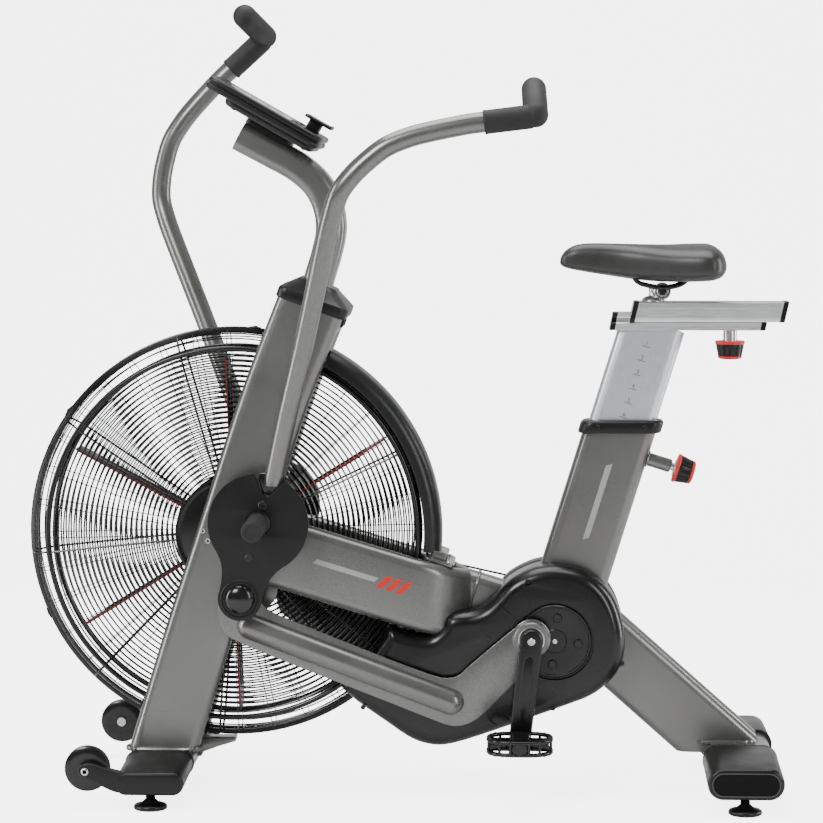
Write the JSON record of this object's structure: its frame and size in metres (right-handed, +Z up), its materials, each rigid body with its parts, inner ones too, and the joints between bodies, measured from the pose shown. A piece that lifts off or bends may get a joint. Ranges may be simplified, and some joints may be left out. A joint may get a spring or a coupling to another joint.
{
  "type": "air bike",
  "caption": "Stationary fan-resistance exercise bike with cranks and linked push-pull arms, wire-guarded fan, adjustable saddle and small console.",
  "frame": {"origin": "on the floor, below the middle of the bounding box", "axes": "+X towards the rear of the bike, +Y towards the rider's right, +Z up; the rider faces -X"},
  "size_m": [1.332, 0.5224, 1.3815],
  "materials": {
    "graphite": "metallic graphite powder coat with a fine flake",
    "black_plastic": "satin moulded black",
    "black_steel": "semi-gloss black powder coat",
    "aluminium": "satin anodised",
    "steel": "bright zinc",
    "rubber": "matte moulded rubber",
    "vinyl": "soft synthetic saddle cover with a low sheen",
    "red": "satin red",
    "tyre": "matte",
    "screen": "glossy dark window"
  },
  "bodies": {
    "frame": {"mast_left": "graphite", "mast_right": "graphite", "mast_bridge": "graphite", "beam_left": "graphite", "beam_right": "graphite", "centre_tube": "graphite", "seat_tube": "graphite", "rear_leg": "graphite", "front_stabilizer": "graphite", "rear_stabilizer": "graphite", "front_cap_left": "black_plastic", "front_cap_right": "black_plastic", "rear_cap_left": "black_plastic", "rear_cap_right": "black_plastic", "fan_guard_left": "black_steel", "fan_guard_right": "black_steel", "fan_fender": "black_plastic", "casing_left": "black_plastic", "casing_right": "black_plastic", "drive_belt": "rubber", "foot_peg_left": "rubber", "foot_peg_right": "rubber", "top_cap": "black_plastic", "console_mast": "graphite", "console_housing": "black_plastic", "console_screen": "screen", "device_holder": "black_plastic", "seat_collar": "black_plastic"},
    "wheel_left": {"wheel_left": "tyre"},
    "wheel_right": {"wheel_right": "tyre"},
    "foot_front_left": {"foot_front_left": "black_plastic"},
    "foot_front_right": {"foot_front_right": "black_plastic"},
    "foot_rear_left": {"foot_rear_left": "black_plastic"},
    "foot_rear_right": {"foot_rear_right": "black_plastic"},
    "fan": {"fan_wheel": "black_plastic", "fan_shaft": "steel"},
    "crank": {"crank_spindle": "black_steel", "drive_pulley": "aluminium", "crank_arm_left": "black_steel", "crank_arm_right": "black_steel"},
    "pedal_left": {"pedal_left": "black_plastic"},
    "pedal_right": {"pedal_right": "black_plastic"},
    "link_left": {"link_left": "graphite"},
    "link_right": {"link_right": "graphite"},
    "arm_left": {"arm_left": "graphite", "arm_cover_left": "black_plastic", "grip_left": "rubber"},
    "arm_right": {"arm_right": "graphite", "arm_cover_right": "black_plastic", "grip_right": "rubber"},
    "button_1": {"console_button_1": "black_plastic"},
    "button_2": {"console_button_2": "black_plastic"},
    "button_3": {"console_button_3": "black_plastic"},
    "post": {"seat_post": "aluminium"},
    "carriage": {"seat_carriage": "aluminium", "saddle_clamp": "steel"},
    "saddle": {"saddle": "vinyl"},
    "seat_pin_knob": {"seat_pin_knob": "black_plastic"},
    "rail_knob": {"rail_knob": "black_plastic"}
  },
  "joints": [
    {"name": "crank_turn", "type": "hinge", "parent": "frame", "child": "crank", "pos_m": [0.262, 0, 0.271], "axis": [0, 1, 0], "continuous": true},
    {"name": "fan_turn", "type": "hinge", "parent": "frame", "child": "fan", "pos_m": [-0.304, 0, 0.4505], "axis": [0, 1, 0], "continuous": true},
    {"name": "pedal_left_spin", "type": "hinge", "parent": "crank", "child": "pedal_left", "pos_m": [0.2025, -0.2, 0.112], "axis": [0, 1, 0], "continuous": true},
    {"name": "pedal_right_spin", "type": "hinge", "parent": "crank", "child": "pedal_right", "pos_m": [0.3215, 0.2, 0.43], "axis": [0, 1, 0], "continuous": true},
    {"name": "link_left_turn", "type": "hinge", "parent": "crank", "child": "link_left", "pos_m": [0.2214, -0.109, 0.279], "axis": [0, 1, 0], "continuous": true},
    {"name": "link_right_turn", "type": "hinge", "parent": "crank", "child": "link_right", "pos_m": [0.3026, 0.109, 0.263], "axis": [0, 1, 0], "continuous": true},
    {"name": "arm_left_swing", "type": "hinge", "parent": "frame", "child": "arm_left", "pos_m": [-0.25, 0, 0.481], "axis": [0, 1, 0], "range_deg": [-36, 0]},
    {"name": "arm_right_swing", "type": "hinge", "parent": "frame", "child": "arm_right", "pos_m": [-0.25, 0, 0.481], "axis": [0, 1, 0], "range_deg": [0, 36]},
    {"name": "wheel_left_roll", "type": "hinge", "parent": "frame", "child": "wheel_left", "pos_m": [-0.537, -0.21712, 0.068], "axis": [0, 1, 0], "continuous": true},
    {"name": "foot_front_left_screw", "type": "hinge", "parent": "frame", "child": "foot_front_left", "pos_m": [-0.428, -0.225, 0.02], "axis": [0, 0, 1], "continuous": true},
    {"name": "foot_rear_left_screw", "type": "hinge", "parent": "frame", "child": "foot_rear_left", "pos_m": [0.585, -0.225, 0.02], "axis": [0, 0, 1], "continuous": true},
    {"name": "wheel_right_roll", "type": "hinge", "parent": "frame", "child": "wheel_right", "pos_m": [-0.537, 0.21712, 0.068], "axis": [0, 1, 0], "continuous": true},
    {"name": "foot_front_right_screw", "type": "hinge", "parent": "frame", "child": "foot_front_right", "pos_m": [-0.428, 0.225, 0.02], "axis": [0, 0, 1], "continuous": true},
    {"name": "foot_rear_right_screw", "type": "hinge", "parent": "frame", "child": "foot_rear_right", "pos_m": [0.585, 0.225, 0.02], "axis": [0, 0, 1], "continuous": true},
    {"name": "seat_height", "type": "slide", "parent": "frame", "child": "post", "axis": [0.2957, 0, 0.9553], "range_m": [-0.12, 0.1]},
    {"name": "seat_fore_aft", "type": "slide", "parent": "post", "child": "carriage", "axis": [1, 0, 0], "range_m": [-0.06, 0.04]},
    {"name": "saddle_tilt", "type": "hinge", "parent": "carriage", "child": "saddle", "pos_m": [0.447, 0, 0.877], "axis": [0, 1, 0], "range_deg": [-8, 8]},
    {"name": "seat_pin_pull", "type": "slide", "parent": "frame", "child": "seat_pin_knob", "axis": [0.9553, 0, -0.2957], "range_m": [0, 0.008], "stiffness_N_per_m": 1500, "springref_m": -0.004},
    {"name": "rail_knob_turn", "type": "hinge", "parent": "post", "child": "rail_knob", "pos_m": [0.5655, 0, 0.785], "axis": [0, 0, 1], "range_deg": [0, 180]},
    {"name": "button_1_press", "type": "slide", "parent": "frame", "child": "button_1", "axis": [-0.4955, 0, -0.8686], "range_m": [0, 0.0015], "stiffness_N_per_m": 400, "springref_m": -0.001},
    {"name": "button_2_press", "type": "slide", "parent": "frame", "child": "button_2", "axis": [-0.4955, 0, -0.8686], "range_m": [0, 0.0015], "stiffness_N_per_m": 400, "springref_m": -0.001},
    {"name": "button_3_press", "type": "slide", "parent": "frame", "child": "button_3", "axis": [-0.4955, 0, -0.8686], "range_m": [0, 0.0015], "stiffness_N_per_m": 400, "springref_m": -0.001}
  ],
  "couplings": [
    {"joint": "fan_turn", "follows": "crank_turn", "ratio": 4},
    {"joint": "link_left_turn", "follows": "crank_turn", "ratio": -1},
    {"joint": "link_right_turn", "follows": "crank_turn", "ratio": -1},
    {"joint": "arm_right_swing", "follows": "arm_left_swing", "ratio": -1}
  ]
}
